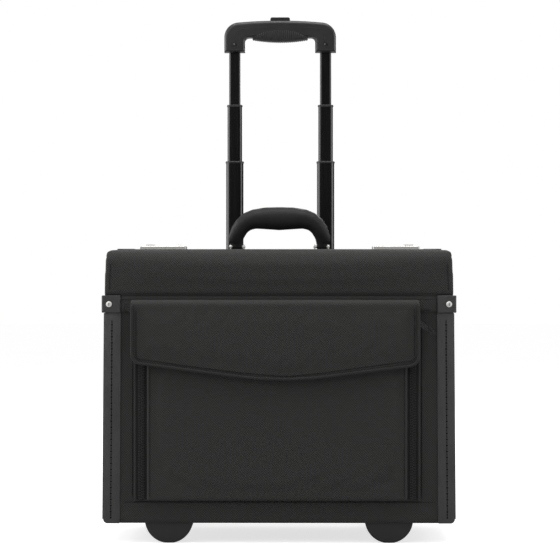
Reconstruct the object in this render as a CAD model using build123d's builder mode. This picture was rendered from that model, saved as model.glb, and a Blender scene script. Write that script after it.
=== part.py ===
from build123d import *
import math
import os

os.makedirs("parts", exist_ok=True)

# Frame: X to the right seen from the front, front at -Y, Z up, floor at 0. Millimetres.

# Case shell
BASE_Z = 27.0
CASE_TOP = 399.0
HALF_BOTTOM = 239.2
HALF_TOP = 236.4
FRONT_Y = -116.0
BACK_Y = 100.0
WALL = 5.0
CORNER_R = 6.0
LID_T = 6.0
WALL_TOP = 391.0
FRONT_WALL_TOP = 333.0
SEAM_Y = 0.0
SEAM_GAP = 1.5

# Leather trims and tabs
TRIM_W = 22.0
TRIM_T = 1.2
TRIM_TOP = 313.0
TAB_TOP = 337.0
TAB_W = 26.0
RIVET_D = 8.0

# Front pocket, zip and flap
POCKET_X0, POCKET_X1 = -197.0, 192.0
POCKET_Z0, POCKET_Z1 = 58.0, 316.0
ZIP_LEFT_X, ZIP_RIGHT_X = -187.0, 182.0
ZIP_TOP_Z = 306.0
TAPE_W = 14.0
TEETH_W = 8.0
FLAP_X0, FLAP_X1 = -201.0, 191.2
FLAP_PIVOT = (-118.0, 331.0)
SLIDER_Z = 306.0

# Front wing
WING_FOOT_Z = 336.0
WING_R = 17.0

# Feet and wheels
FOOT_X = 150.0
FOOT_R = 33.0
FOOT_AXIS_Z = 32.25
WHEEL_R = 27.5
WHEEL_W = 22.0
WHEEL_Y = 108.5
AXLE_D = 6.0

# Trolley
TUBE_X = 66.8
TUBE_Y = 114.0
TUBE_WALL = 1.2
OUTER_TUBE = (30.0, 19.6, 60.0, 372.0)
STAGE_1 = (25.5, 15.2, 226.5, 529.5)
STAGE_2 = (21.5, 11.4, 383.5, 612.5)
STAGE_3 = (16.7, 7.6, 466.6, 712.0)
COLLAR_H = 3.0
GRIP_HALF = 82.0
GRIP_FOOT = 692.6
GRIP_TOP = 739.0
GRIP_D = 24.0
ROD_D = 4.0

# Carry handle and locks
HANDLE_Y = -30.0
HANDLE_PIVOT_Z = 404.5
HANDLE_PIN_D = 4.0
LOCK_X = 163.0
LOCK_Y0, LOCK_Y1 = -46.0, -16.0
PATCH_TOP = 401.0
LOCK_Z0, LOCK_TOP = 401.0, 405.6
DIAL_R = 3.4
DIAL_Z = 404.9
DIAL_Y = -31.0
DIAL_XS = (138.0, 142.2, 146.4)
HASP_Y, HASP_Z = -13.5, 403.5


def half_width(z):
    """Half the case width at height z; above the rounded corner the sides lean in slightly."""
    foot = BASE_Z + CORNER_R
    return HALF_BOTTOM + (HALF_TOP - HALF_BOTTOM) * (max(z, foot) - foot) / (CASE_TOP - foot)


def slab(x0, x1, y0, y1, z0, z1, mode=Mode.ADD):
    """Adds or cuts a plain block given by its limits, inside the current part."""
    with Locations(((x0 + x1) / 2, (y0 + y1) / 2, (z0 + z1) / 2)):
        Box(abs(x1 - x0), y1 - y0, z1 - z0, mode=mode)


def pin_x(x0, x1, y, z, radius, mode=Mode.ADD):
    """Adds or cuts a cylinder along X."""
    with Locations(((x0 + x1) / 2, y, z)):
        Cylinder(radius, abs(x1 - x0), rotation=(0, 90, 0), mode=mode)


def pin_y(x, y0, y1, z, radius, mode=Mode.ADD):
    """Adds or cuts a cylinder along Y."""
    with Locations((x, (y0 + y1) / 2, z)):
        Cylinder(radius, y1 - y0, rotation=(90, 0, 0), mode=mode)


def at_y(y):
    """The XZ plane at y; extruding from it runs towards the front."""
    return Plane.XZ.offset(-y)


def save(part, label):
    part.label = label
    export_step(part, f"parts/{label}.step")


# Shell panels

with BuildPart() as front_panel:
    with BuildSketch(at_y(FRONT_Y + WALL)) as front_outline:
        with BuildLine():
            Polyline(
                (-half_width(BASE_Z), BASE_Z),
                (half_width(BASE_Z), BASE_Z),
                (half_width(FRONT_WALL_TOP), FRONT_WALL_TOP),
                (-half_width(FRONT_WALL_TOP), FRONT_WALL_TOP),
                close=True,
            )
        make_face()
        fillet(front_outline.vertices().sort_by(Axis.Y)[:2], CORNER_R)
    extrude(amount=WALL)
save(front_panel.part, "front_panel")

NOTCH_X0, NOTCH_X1 = 127.5, 172.5
NOTCH_Y, NOTCH_Z = 75.5, 66.5

with BuildPart() as back_panel:
    with BuildSketch(at_y(BACK_Y)) as back_outline:
        with BuildLine():
            Polyline(
                (-half_width(BASE_Z), BASE_Z),
                (half_width(BASE_Z), BASE_Z),
                (half_width(WALL_TOP), WALL_TOP),
                (-half_width(WALL_TOP), WALL_TOP),
                close=True,
            )
        make_face()
        fillet(back_outline.vertices().sort_by(Axis.Y)[:2], CORNER_R)
    extrude(amount=WALL)
    for sign in (-1, 1):
        slab(sign * NOTCH_X0, sign * NOTCH_X1, 90, 110, 20, NOTCH_Z, Mode.SUBTRACT)
save(back_panel.part, "back_panel")


def side_panel(sign):
    """A side wall with the rounded lower corner."""
    foot = BASE_Z + CORNER_R
    inner_r = CORNER_R - WALL
    corner_x = HALF_BOTTOM - CORNER_R
    mid = math.sqrt(0.5)
    with BuildPart() as piece:
        with BuildSketch(at_y(BACK_Y - WALL)):
            with BuildLine():
                Polyline(
                    (sign * corner_x, BASE_Z + WALL),
                    (sign * corner_x, BASE_Z),
                )
                ThreePointArc(
                    (sign * corner_x, BASE_Z),
                    (sign * (corner_x + mid * CORNER_R), foot - mid * CORNER_R),
                    (sign * HALF_BOTTOM, foot),
                )
                Polyline(
                    (sign * HALF_BOTTOM, foot),
                    (sign * half_width(WALL_TOP), WALL_TOP),
                    (sign * (half_width(WALL_TOP) - WALL), WALL_TOP),
                    (sign * (HALF_BOTTOM - WALL), foot),
                )
                ThreePointArc(
                    (sign * (HALF_BOTTOM - WALL), foot),
                    (sign * (corner_x + mid * inner_r), foot - mid * inner_r),
                    (sign * corner_x, BASE_Z + WALL),
                )
            make_face()
        extrude(amount=BACK_Y - WALL - (FRONT_Y + WALL))
        # The wall stands back where the wing's corner turns above the front panel.
        slab(sign * 200, sign * 250, FRONT_Y, FRONT_Y + LID_T + 0.6, FRONT_WALL_TOP, 400, Mode.SUBTRACT)
        corner = piece.edges().filter_by(Axis.X).filter_by(
            lambda e: abs(e.center().Z - WALL_TOP) < 0.1 and e.center().Y < -100
        )
        fillet(corner, 16)
    return piece.part


save(side_panel(-1), "side_panel_l")
save(side_panel(1), "side_panel_r")

FLOOR_HALF = HALF_BOTTOM - CORNER_R
with BuildPart() as bottom_panel:
    slab(-FLOOR_HALF, FLOOR_HALF, FRONT_Y + WALL, BACK_Y - WALL, BASE_Z, BASE_Z + WALL)
    for sign in (-1, 1):
        slab(sign * NOTCH_X0, sign * NOTCH_X1, NOTCH_Y, 110, 20, 40, Mode.SUBTRACT)
save(bottom_panel.part, "bottom_panel")


# Corner trims: two flanges of leather over each upright edge

def corner_trim(sign, y_face, outward):
    """outward is -1 on the front edges and 1 on the back ones."""
    y0, y1 = sorted((y_face, y_face + outward * TRIM_T))
    s0, s1 = sorted((y_face + outward * TRIM_T, y_face - outward * TRIM_W))
    foot = BASE_Z + CORNER_R
    mid = math.sqrt(0.5)
    corner_x = HALF_BOTTOM - CORNER_R
    inner_x = HALF_BOTTOM - TRIM_W
    with BuildPart() as piece:
        with BuildSketch(at_y(y1)):
            with BuildLine():
                Polyline(
                    (sign * HALF_BOTTOM, foot),
                    (sign * half_width(TRIM_TOP), TRIM_TOP),
                    (sign * (half_width(TRIM_TOP) - TRIM_W), TRIM_TOP),
                    (sign * inner_x, BASE_Z),
                    (sign * corner_x, BASE_Z),
                )
                ThreePointArc(
                    (sign * corner_x, BASE_Z),
                    (sign * (corner_x + mid * CORNER_R), foot - mid * CORNER_R),
                    (sign * HALF_BOTTOM, foot),
                )
            make_face()
        extrude(amount=y1 - y0)
        with BuildSketch(at_y(s1)):
            with BuildLine():
                Polyline(
                    (sign * HALF_BOTTOM, foot),
                    (sign * half_width(TRIM_TOP), TRIM_TOP),
                    (sign * (half_width(TRIM_TOP) + TRIM_T), TRIM_TOP),
                    (sign * (HALF_BOTTOM + TRIM_T), foot),
                    close=True,
                )
            make_face()
        extrude(amount=s1 - s0)
    return piece.part


trims = [
    corner_trim(sign, y_face, outward)
    for sign in (-1, 1)
    for y_face, outward in ((FRONT_Y, -1), (BACK_Y, 1))
]
save(Compound(children=trims), "corner_trims")

with BuildPart() as hinge_band:
    slab(-214.5, 214.5, FRONT_Y - 1.5, FRONT_Y, 315.0, 330.2)
save(hinge_band.part, "hinge_band")


def hinge_tab(sign):
    edge = half_width(TAB_TOP)
    with BuildPart() as piece:
        slab(sign * (edge + 4.4), sign * (edge + 4.4 - TAB_W), FRONT_Y - 2.6, FRONT_Y, TRIM_TOP + 0.5, TAB_TOP)
        slab(sign * (edge + 1.1), sign * (edge + 4.4), FRONT_Y - 0.5, FRONT_Y + 22, TRIM_TOP + 0.5, TAB_TOP)
        outer = piece.edges().filter_by(Axis.Z).sort_by(Axis.Y)[:2]
        fillet(outer.sort_by(lambda e: sign * e.center().X)[-1], 2.0)
        # The wing's foot stands behind the upper end of the tab.
        slab(sign * 205, sign * (edge + 1.1), FRONT_Y - 0.4, FRONT_Y + 22, 332.5, 340, Mode.SUBTRACT)
    return piece.part


save(Compound(children=[hinge_tab(-1), hinge_tab(1)]), "hinge_tabs")


def rivet(sign):
    with BuildPart() as piece:
        pin_y(sign * 231.2, FRONT_Y - 3.6, FRONT_Y - 2.6, 325.0, RIVET_D / 2)
        fillet(piece.edges().sort_by(Axis.Y)[0], 0.8)
    return piece.part


save(Compound(children=[rivet(-1), rivet(1)]), "tab_rivets")

# Front pocket

with BuildPart() as pocket_gusset:
    slab(POCKET_X0, POCKET_X1, FRONT_Y - 3.0, FRONT_Y, POCKET_Z0, POCKET_Z1 - 2)
    slab(POCKET_X0 + 22, POCKET_X1 - 22, FRONT_Y - 5.0, FRONT_Y + 1, POCKET_Z0 + 8, POCKET_Z1 - 24, Mode.SUBTRACT)
    slab(POCKET_X0, POCKET_X0 + 2.8, FRONT_Y - 5.5, FRONT_Y - 3.0, POCKET_Z0, POCKET_Z1 - 2)
    slab(POCKET_X1 - 2.8, POCKET_X1, FRONT_Y - 5.5, FRONT_Y - 3.0, POCKET_Z0, POCKET_Z1 - 2)
save(pocket_gusset.part, "pocket_gusset")

with BuildPart() as pocket_panel:
    slab(ZIP_LEFT_X + 7.0, ZIP_RIGHT_X - 7.0, FRONT_Y - 8.0, FRONT_Y - 3.0, POCKET_Z0 + 0.4, 295.0)
    fillet(pocket_panel.edges().filter_by(Axis.Y).group_by(Axis.Z)[-1], 8.0)
    fillet(pocket_panel.faces().sort_by(Axis.Y)[0].edges(), 2.5)
save(pocket_panel.part, "pocket_panel")


def zip_run(width, y0, y1, top):
    """Two upright runs and one across, the corners left to the cloth."""
    with BuildPart() as piece:
        for x in (ZIP_LEFT_X, ZIP_RIGHT_X):
            slab(x - width / 2, x + width / 2, y0, y1, 60.0, top)
        slab(ZIP_LEFT_X + 12, ZIP_RIGHT_X - 12, y0, y1, ZIP_TOP_Z - width / 2, ZIP_TOP_Z + width / 2)
    return piece.part


save(zip_run(TAPE_W, FRONT_Y - 3.8, FRONT_Y - 3.0, 313.5), "zip_tape")
save(zip_run(TEETH_W, FRONT_Y - 5.8, FRONT_Y - 3.8, 313.5), "zip_teeth")


# Pocket flap with its bound edge

with BuildPart() as pocket_flap:
    with BuildSketch(Plane.YZ.offset(FLAP_X0)):
        with BuildLine():
            Polyline(
                (-118.0, 329.0),
                (-118.0, 331.3),
                (-121.5, 331.6),
                (-131.0, 328.0),
                (-133.0, 325.0),
                (-133.0, 205.0),
                (-129.0, 205.0),
                (-129.0, 324.0),
                close=True,
            )
        make_face()
    extrude(amount=FLAP_X1 - FLAP_X0)
    with BuildSketch(at_y(-110.0)) as flap_outline:
        with BuildLine():
            Polyline(
                (FLAP_X0, 340.0),
                (FLAP_X0, 244.8),
                (4.8, 217.9),
                (FLAP_X1, 241.8),
                (FLAP_X1, 340.0),
                close=True,
            )
        make_face()
        fillet(flap_outline.vertices().sort_by(Axis.Y)[0], 500.0)
        fillet(flap_outline.vertices().filter_by(lambda v: 241 < v.Y < 246), 15.0)
    extrude(amount=40.0, mode=Mode.INTERSECT)
save(pocket_flap.part, "pocket_flap")

with BuildPart() as flap_piping:
    with BuildSketch(at_y(-133.0)) as piping_outline:
        with BuildLine():
            Polyline(
                (FLAP_X0, 324.0),
                (FLAP_X0, 244.8),
                (4.8, 217.9),
                (FLAP_X1, 241.8),
                (FLAP_X1, 324.0),
                close=True,
            )
        make_face()
        fillet(piping_outline.vertices().sort_by(Axis.Y)[0], 500.0)
        fillet(piping_outline.vertices().filter_by(lambda v: 241 < v.Y < 246), 15.0)
    extrude(amount=3.0)
    with BuildSketch(at_y(-130.0)) as piping_hole:
        with BuildLine():
            Polyline(
                (FLAP_X0 + 4.0, 330.0),
                (FLAP_X0 + 4.0, 248.4),
                (4.8, 222.0),
                (FLAP_X1 - 4.0, 245.4),
                (FLAP_X1 - 4.0, 330.0),
                close=True,
            )
        make_face()
        fillet(piping_hole.vertices().sort_by(Axis.Y)[0], 496.0)
        fillet(piping_hole.vertices().filter_by(lambda v: 244 < v.Y < 250), 11.0)
    extrude(amount=10.0, mode=Mode.SUBTRACT)
save(flap_piping.part, "flap_piping")


# Zip sliders and pulls

def zip_slider(x):
    with BuildPart() as piece:
        slab(x - 6.4, x + 6.4, -126.4, -120.4, SLIDER_Z - 8, SLIDER_Z + 8)
        fillet(piece.edges().filter_by(Axis.Y), 3.0)
        slab(x - 4.5, x + 4.5, -122.3, -120.0, SLIDER_Z - 9, SLIDER_Z + 9, Mode.SUBTRACT)
        pin_y(x, -128.4, -126.4, SLIDER_Z, 1.25)
    return piece.part


def zip_pull(x, angle, length):
    """A flat pull lying at an angle in the XZ plane, on the slider's post."""
    with BuildPart() as piece:
        with BuildSketch(Plane(origin=(x, -127.0, SLIDER_Z), x_dir=(math.cos(angle), 0, math.sin(angle)), z_dir=(0, -1, 0))):
            with Locations((length / 2, 0)):
                RectangleRounded(length + 7.0, 7.0, 3.0)
            with Locations((0, 0)):
                Circle(1.3, mode=Mode.SUBTRACT)
            with Locations((length - 4.0, 0)):
                SlotOverall(7.0, 3.0, mode=Mode.SUBTRACT)
        extrude(amount=1.2)
    return piece.part


save(zip_slider(ZIP_LEFT_X), "zip_slider_l")
save(zip_slider(ZIP_RIGHT_X), "zip_slider_r")
save(zip_pull(ZIP_LEFT_X, math.radians(141), 30.0), "zip_pull_l")
save(zip_pull(ZIP_RIGHT_X, math.radians(-35), 32.0), "zip_pull_r")


# Feet, wheel housings, wheels

def foot(sign):
    """A half-round foot facing forward, with a narrow flat on the floor."""
    x0, x1 = sign * FOOT_X - 40.0, sign * FOOT_X + 40.0
    with BuildPart() as piece:
        pin_y(sign * FOOT_X, -112.0, -76.0, FOOT_AXIS_Z, FOOT_R)
        fillet(piece.edges().filter_by(GeomType.CIRCLE), 3.0)
        slab(x0, x1, -120.0, -70.0, -20.0, 0.0, Mode.SUBTRACT)
        slab(x0, x1, -120.0, -70.0, BASE_Z, 80.0, Mode.SUBTRACT)
    return piece.part


save(Compound(children=[foot(-1), foot(1)]), "feet")


def wheel_housing(sign):
    x0, x1 = sign * 128.0, sign * 172.0
    with BuildPart() as piece:
        slab(x0, x1, 76.0, 122.0, 14.0, 66.0)
        rear_top = piece.edges().filter_by(Axis.X).sort_by(lambda e: e.center().Y + e.center().Z)[-1]
        fillet(rear_top, 20.0)
        fillet(piece.edges().filter_by(Axis.X).group_by(Axis.Z)[0], 8.0)
        pin_x(sign * 137.0, sign * 163.0, WHEEL_Y, WHEEL_R, WHEEL_R + 3.0, Mode.SUBTRACT)
        slab(sign * 137.0, sign * 163.0, WHEEL_Y - WHEEL_R - 3.0, 130.0, 0.0, WHEEL_R, Mode.SUBTRACT)
        pin_x(sign * 120.0, sign * 180.0, WHEEL_Y, WHEEL_R, AXLE_D / 2, Mode.SUBTRACT)
    return piece.part


save(Compound(children=[wheel_housing(-1), wheel_housing(1)]), "wheel_housings")


def axle(sign):
    with BuildPart() as piece:
        pin_x(sign * 127.0, sign * 173.0, WHEEL_Y, WHEEL_R, AXLE_D / 2)
        chamfer(piece.edges().filter_by(GeomType.CIRCLE), 0.8)
    return piece.part


save(Compound(children=[axle(-1), axle(1)]), "axle_pins")


def wheel_hub(sign):
    half = WHEEL_W / 2
    cx = sign * FOOT_X
    with BuildPart() as piece:
        pin_x(cx - half + 0.5, cx + half - 0.5, WHEEL_Y, WHEEL_R, 18.0)
        for side in (-1, 1):
            face_x = cx + side * (half - 0.5)
            with Locations((face_x, WHEEL_Y, WHEEL_R)):
                Cylinder(15.5, 8.0, rotation=(0, 90, 0), mode=Mode.SUBTRACT)
            with Locations((cx + side * (half - 1.5) / 2, WHEEL_Y, WHEEL_R)):
                Cylinder(6.0, half - 1.5, rotation=(0, 90, 0))
            for k in range(5):
                turn = math.radians(72 * k)
                plane = Plane(
                    origin=(cx + side * (half - 5.5), WHEEL_Y, WHEEL_R),
                    x_dir=(0, math.cos(turn), math.sin(turn)),
                    z_dir=(1, 0, 0),
                )
                with Locations(plane):
                    with Locations((10.5, 0, 0)):
                        Box(11.0, 3.0, 6.0)
        pin_x(cx - half - 1, cx + half + 1, WHEEL_Y, WHEEL_R, AXLE_D / 2 + 0.05, Mode.SUBTRACT)
    return piece.part


def wheel_tyre(sign):
    cx = sign * FOOT_X
    with BuildPart() as piece:
        pin_x(cx - WHEEL_W / 2, cx + WHEEL_W / 2, WHEEL_Y, WHEEL_R, WHEEL_R)
        fillet(piece.edges().filter_by(GeomType.CIRCLE), 4.0)
        pin_x(cx - WHEEL_W, cx + WHEEL_W, WHEEL_Y, WHEEL_R, 18.0, Mode.SUBTRACT)
    return piece.part


for name, sign in (("l", -1), ("r", 1)):
    save(wheel_hub(sign), f"wheel_hub_{name}")
    save(wheel_tyre(sign), f"wheel_tyre_{name}")


# Back cover, bezel and trolley tubes

with BuildPart() as back_cover:
    slab(-97.0, 97.0, BACK_Y, 128.0, 50.0, 359.0)
    fillet(back_cover.edges().filter_by(Axis.Z).group_by(Axis.Y)[-1], 10.0)
    fillet(back_cover.faces().sort_by(Axis.Y)[-1].edges(), 3.0)
    slab(-93.5, 93.5, BACK_Y - 1, 124.5, 54.0, 360.0, Mode.SUBTRACT)
save(back_cover.part, "back_cover")

with BuildPart() as trolley_bezel:
    slab(-99.0, 99.0, 100.6, 129.0, 359.0, 375.0)
    fillet(trolley_bezel.edges().filter_by(Axis.Z).group_by(Axis.Y)[-1], 10.0)
    fillet(trolley_bezel.faces().sort_by(Axis.Z)[-1].edges(), 2.5)
    for sign in (-1, 1):
        with BuildSketch(Plane.XY.offset(350.0)):
            with Locations((sign * TUBE_X, TUBE_Y)):
                SlotOverall(OUTER_TUBE[0] + 0.1, OUTER_TUBE[1] + 0.1)
        extrude(amount=22.1, mode=Mode.SUBTRACT)
        with BuildSketch(Plane.XY.offset(371.0)):
            with Locations((sign * TUBE_X, TUBE_Y)):
                SlotOverall(STAGE_1[0] + 1.6, STAGE_1[1] + 1.6)
        extrude(amount=10.0, mode=Mode.SUBTRACT)
save(trolley_bezel.part, "trolley_bezel")


def tube_pair(size):
    width, depth, z0, z1 = size
    with BuildPart() as piece:
        for sign in (-1, 1):
            with BuildSketch(Plane.XY.offset(z0)):
                with Locations((sign * TUBE_X, TUBE_Y)):
                    SlotOverall(width, depth)
                    SlotOverall(width - 2 * TUBE_WALL, depth - 2 * TUBE_WALL, mode=Mode.SUBTRACT)
            extrude(amount=z1 - z0)
    return piece.part


def collar_pair(size):
    width, depth, _, z1 = size
    with BuildPart() as piece:
        for sign in (-1, 1):
            with BuildSketch(Plane.XY.offset(z1)):
                with Locations((sign * TUBE_X, TUBE_Y)):
                    SlotOverall(width + 1.4, depth + 1.4)
            extrude(amount=COLLAR_H)
        chamfer(piece.faces().group_by(Axis.Z)[-1].edges(), 0.7)
        for sign in (-1, 1):
            with BuildSketch(Plane.XY.offset(z1 - 1)):
                with Locations((sign * TUBE_X, TUBE_Y)):
                    SlotOverall(width - 2 * TUBE_WALL, depth - 2 * TUBE_WALL)
            extrude(amount=COLLAR_H + 2, mode=Mode.SUBTRACT)
    return piece.part


save(tube_pair(OUTER_TUBE), "outer_tubes")
save(tube_pair(STAGE_1), "stage1_tubes")
save(collar_pair(STAGE_1), "stage1_collars")
save(tube_pair(STAGE_2), "stage2_tubes")
save(collar_pair(STAGE_2), "stage2_collars")
save(tube_pair(STAGE_3), "stage3_tubes")

# Trolley grip, its ribbed underside and the release button

with BuildPart() as grip_shell:
    with BuildSketch(at_y(TUBE_Y + GRIP_D / 2)) as grip_outline:
        with BuildLine():
            Line((-GRIP_HALF, GRIP_FOOT), (-GRIP_HALF, GRIP_TOP - 5.0))
            ThreePointArc(
                (-GRIP_HALF, GRIP_TOP - 5.0), (0.0, GRIP_TOP), (GRIP_HALF, GRIP_TOP - 5.0)
            )
            Polyline(
                (GRIP_HALF, GRIP_TOP - 5.0),
                (GRIP_HALF, GRIP_FOOT),
                (51.5, GRIP_FOOT),
                (51.5, 714.0),
                (-51.5, 714.0),
                (-51.5, GRIP_FOOT),
                (-GRIP_HALF, GRIP_FOOT),
            )
        make_face()
        fillet(grip_outline.vertices().sort_by(Axis.Y)[-2:], 22.0)
        fillet(grip_outline.vertices().filter_by(lambda v: abs(v.Y - 714) < 0.1), 6.0)
    extrude(amount=GRIP_D)
    fillet(grip_shell.faces().filter_by(Axis.Y).edges(), 5.0)
    slab(-75.0, 75.0, 109.0, 119.0, 717.0, 731.0, Mode.SUBTRACT)
    slab(-15.0, 15.0, 107.5, 120.5, 717.0, 745.0, Mode.SUBTRACT)
    for sign in (-1, 1):
        with BuildSketch(Plane.XY.offset(690.0)):
            with Locations((sign * TUBE_X, TUBE_Y)):
                SlotOverall(STAGE_3[0], STAGE_3[1])
        extrude(amount=STAGE_3[3] - 690.0, mode=Mode.SUBTRACT)
        with Locations((sign * TUBE_X, TUBE_Y, 714.5)):
            Cylinder(2.5, 8.0, mode=Mode.SUBTRACT)
        pin_y(sign * 66.8, 100.0, 104.0, 703.0, 3.0, Mode.SUBTRACT)
save(grip_shell.part, "grip_shell")

with BuildPart() as grip_insert:
    with BuildSketch(at_y(124.5)):
        with BuildLine():
            ThreePointArc((-42.0, 712.6), (0.0, 708.6), (42.0, 712.6))
            Polyline((42.0, 712.6), (42.0, 714.0), (-42.0, 714.0), (-42.0, 712.6))
        make_face()
    extrude(amount=21.0)
    for k in range(27):
        x = -39.0 + 3.0 * k
        z = 708.6 + 4.0 * (x / 42.0) ** 2
        slab(x - 0.5, x + 0.5, 100.0, 130.0, 700.0, z + 1.0, Mode.SUBTRACT)
save(grip_insert.part, "grip_insert")

with BuildPart() as release_button:
    slab(-14.5, 14.5, 108.0, 120.0, 728.5, 744.0)
    fillet(release_button.edges().filter_by(Axis.Y).group_by(Axis.Z)[-1], 3.0)
    fillet(release_button.faces().sort_by(Axis.Z)[-1].edges(), 0.8)
    slab(-73.0, 73.0, 110.0, 118.0, 722.0, 728.5)
save(release_button.part, "release_button")


def push_rod(sign):
    with BuildPart() as piece:
        with Locations((sign * TUBE_X, TUBE_Y, (472.0 + 722.0) / 2)):
            Cylinder(ROD_D / 2, 722.0 - 472.0)
        chamfer(piece.edges().sort_by(Axis.Z)[0], 0.8)
    return piece.part


save(Compound(children=[push_rod(-1), push_rod(1)]), "push_rods")

# Front wing: the front of the lid and the forward half of the top in one turn

with BuildPart() as wing_shell:
    inner = FRONT_Y + LID_T
    under = CASE_TOP - LID_T
    mid = math.sqrt(0.5)
    in_r = WING_R - LID_T
    cy, cz = FRONT_Y + WING_R, CASE_TOP - WING_R
    with BuildSketch(Plane.YZ.offset(-HALF_BOTTOM)):
        with BuildLine():
            Line((FRONT_Y, WING_FOOT_Z), (FRONT_Y, cz))
            ThreePointArc((FRONT_Y, cz), (cy - mid * WING_R, cz + mid * WING_R), (cy, CASE_TOP))
            Polyline(
                (cy, CASE_TOP),
                (SEAM_Y - SEAM_GAP / 2, CASE_TOP),
                (SEAM_Y - SEAM_GAP / 2, under),
                (cy, under),
            )
            ThreePointArc((cy, under), (cy - mid * in_r, cz + mid * in_r), (inner, cz))
            Polyline((inner, cz), (inner, WING_FOOT_Z), (FRONT_Y, WING_FOOT_Z))
        make_face()
    extrude(amount=2 * HALF_BOTTOM)
    with BuildSketch(at_y(10.0)) as wing_outline:
        with BuildLine():
            Polyline(
                (-half_width(WING_FOOT_Z) - 0.7, WING_FOOT_Z),
                (half_width(WING_FOOT_Z) + 0.7, WING_FOOT_Z),
                (half_width(CASE_TOP), CASE_TOP),
                (-half_width(CASE_TOP), CASE_TOP),
                close=True,
            )
        make_face()
        fillet(wing_outline.vertices().sort_by(Axis.Y)[-2:], 8.0)
    extrude(amount=140.0, mode=Mode.INTERSECT)
save(wing_shell.part, "wing_shell")

with BuildPart() as rear_flap:
    with BuildSketch(at_y(97.0)) as rear_outline:
        with BuildLine():
            Polyline(
                (-half_width(CASE_TOP), CASE_TOP - LID_T),
                (half_width(CASE_TOP), CASE_TOP - LID_T),
                (half_width(CASE_TOP), CASE_TOP),
                (-half_width(CASE_TOP), CASE_TOP),
                close=True,
            )
        make_face()
        fillet(rear_outline.vertices().sort_by(Axis.Y)[-2:], 5.5)
    extrude(amount=97.0 - (SEAM_Y + SEAM_GAP / 2))
save(rear_flap.part, "rear_flap")


def lock_patch(x0, x1, y0, y1, top):
    with BuildPart() as piece:
        slab(x0, x1, y0, y1, CASE_TOP, top)
        fillet(piece.edges().filter_by(Axis.Z), 3.0)
        fillet(piece.faces().sort_by(Axis.Z)[-1].edges(), 0.9)
    return piece.part


patches = []
for sign in (-1, 1):
    patches.append(lock_patch(sign * 126.0, sign * 198.5, -50.0, -6.0, PATCH_TOP))
    patches.append(lock_patch(sign * 200.0, sign * 225.0, -60.0, -6.0, PATCH_TOP + 0.4))
save(Compound(children=patches), "leather_patches")


def lock_body(sign):
    """A flat lock: dials at the inner end, a thumb slide at the outer one, hasp lugs behind."""
    with BuildPart() as piece:
        slab(sign * 130.0, sign * 196.0, LOCK_Y0, LOCK_Y1, LOCK_Z0, LOCK_TOP)
        fillet(piece.edges().filter_by(Axis.Z), 3.0)
        chamfer(piece.faces().sort_by(Axis.Z)[-1].edges(), 0.9)
        for x in DIAL_XS:
            slab(sign * (x - 1.6), sign * (x + 1.6), DIAL_Y - 4.2, DIAL_Y + 4.2, 390, 410, Mode.SUBTRACT)
        slab(sign * 172.5, sign * 193.5, -38.0, -24.0, 403.2, 410.0, Mode.SUBTRACT)
        pin_x(sign * 134.0, sign * 150.0, DIAL_Y, DIAL_Z, 0.8)
        for x in (144.0, 182.0):
            slab(sign * (x - 1.5), sign * (x + 1.5), LOCK_Y1 - 1, HASP_Y + 2.2, LOCK_Z0, LOCK_Z0 + 4.4)
        pin_x(sign * 145.0, sign * 181.0, HASP_Y, HASP_Z, 0.9)
    return piece.part


def dial(x):
    with BuildPart() as piece:
        pin_x(x - 1.2, x + 1.2, DIAL_Y, DIAL_Z, DIAL_R)
        chamfer(piece.edges().filter_by(GeomType.CIRCLE), 0.3)
        for k in range(10):
            turn = math.radians(36 * k + 18)
            pin_x(x - 2, x + 2, DIAL_Y + 3.55 * math.cos(turn), DIAL_Z + 3.55 * math.sin(turn), 0.4, Mode.SUBTRACT)
        pin_x(x - 2, x + 2, DIAL_Y, DIAL_Z, 0.85, Mode.SUBTRACT)
    return piece.part


def thumb_slide(sign):
    with BuildPart() as piece:
        slab(sign * 174.0, sign * 188.0, -37.4, -24.6, 403.6, 407.6)
        fillet(piece.edges().filter_by(Axis.Z), 1.5)
        for k in range(7):
            x = 176.0 + 1.6 * k
            slab(sign * (x - 0.35), sign * (x + 0.35), -40.0, -20.0, 407.0, 410.0, Mode.SUBTRACT)
    return piece.part


def hasp(sign):
    """A spring-up hasp plate whose barrel turns on the lock's rear pin."""
    with BuildPart() as piece:
        slab(sign * 146.2, sign * 179.8, HASP_Y, 15.0, HASP_Z, HASP_Z + 2.0)
        fillet(piece.edges().filter_by(Axis.Z).group_by(Axis.Y)[-1], 4.0)
        slab(sign * 155.0, sign * 171.0, 9.0, 12.5, HASP_Z - 1.0, HASP_Z)
        pin_x(sign * 146.2, sign * 179.8, HASP_Y, HASP_Z, 1.8)
        pin_x(sign * 140.0, sign * 185.0, HASP_Y, HASP_Z, 0.95, Mode.SUBTRACT)
    return piece.part


def strike(sign):
    with BuildPart() as piece:
        slab(sign * 149.0, sign * 177.0, 2.0, 19.0, CASE_TOP, CASE_TOP + 1.2)
        fillet(piece.edges().filter_by(Axis.Z), 2.5)
        slab(sign * 156.0, sign * 170.0, 4.0, 7.5, CASE_TOP + 1.0, CASE_TOP + 3.6)
    return piece.part


for name, sign in (("l", -1), ("r", 1)):
    save(lock_body(sign), f"lock_body_{name}")
    save(thumb_slide(sign), f"thumb_slide_{name}")
    save(hasp(sign), f"hasp_{name}")
    for k, x in enumerate(DIAL_XS):
        save(dial(sign * x), f"dial_{name}{k + 1}")
save(Compound(children=[strike(-1), strike(1)]), "lock_strikes")


# Carry handle and its brackets

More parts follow.
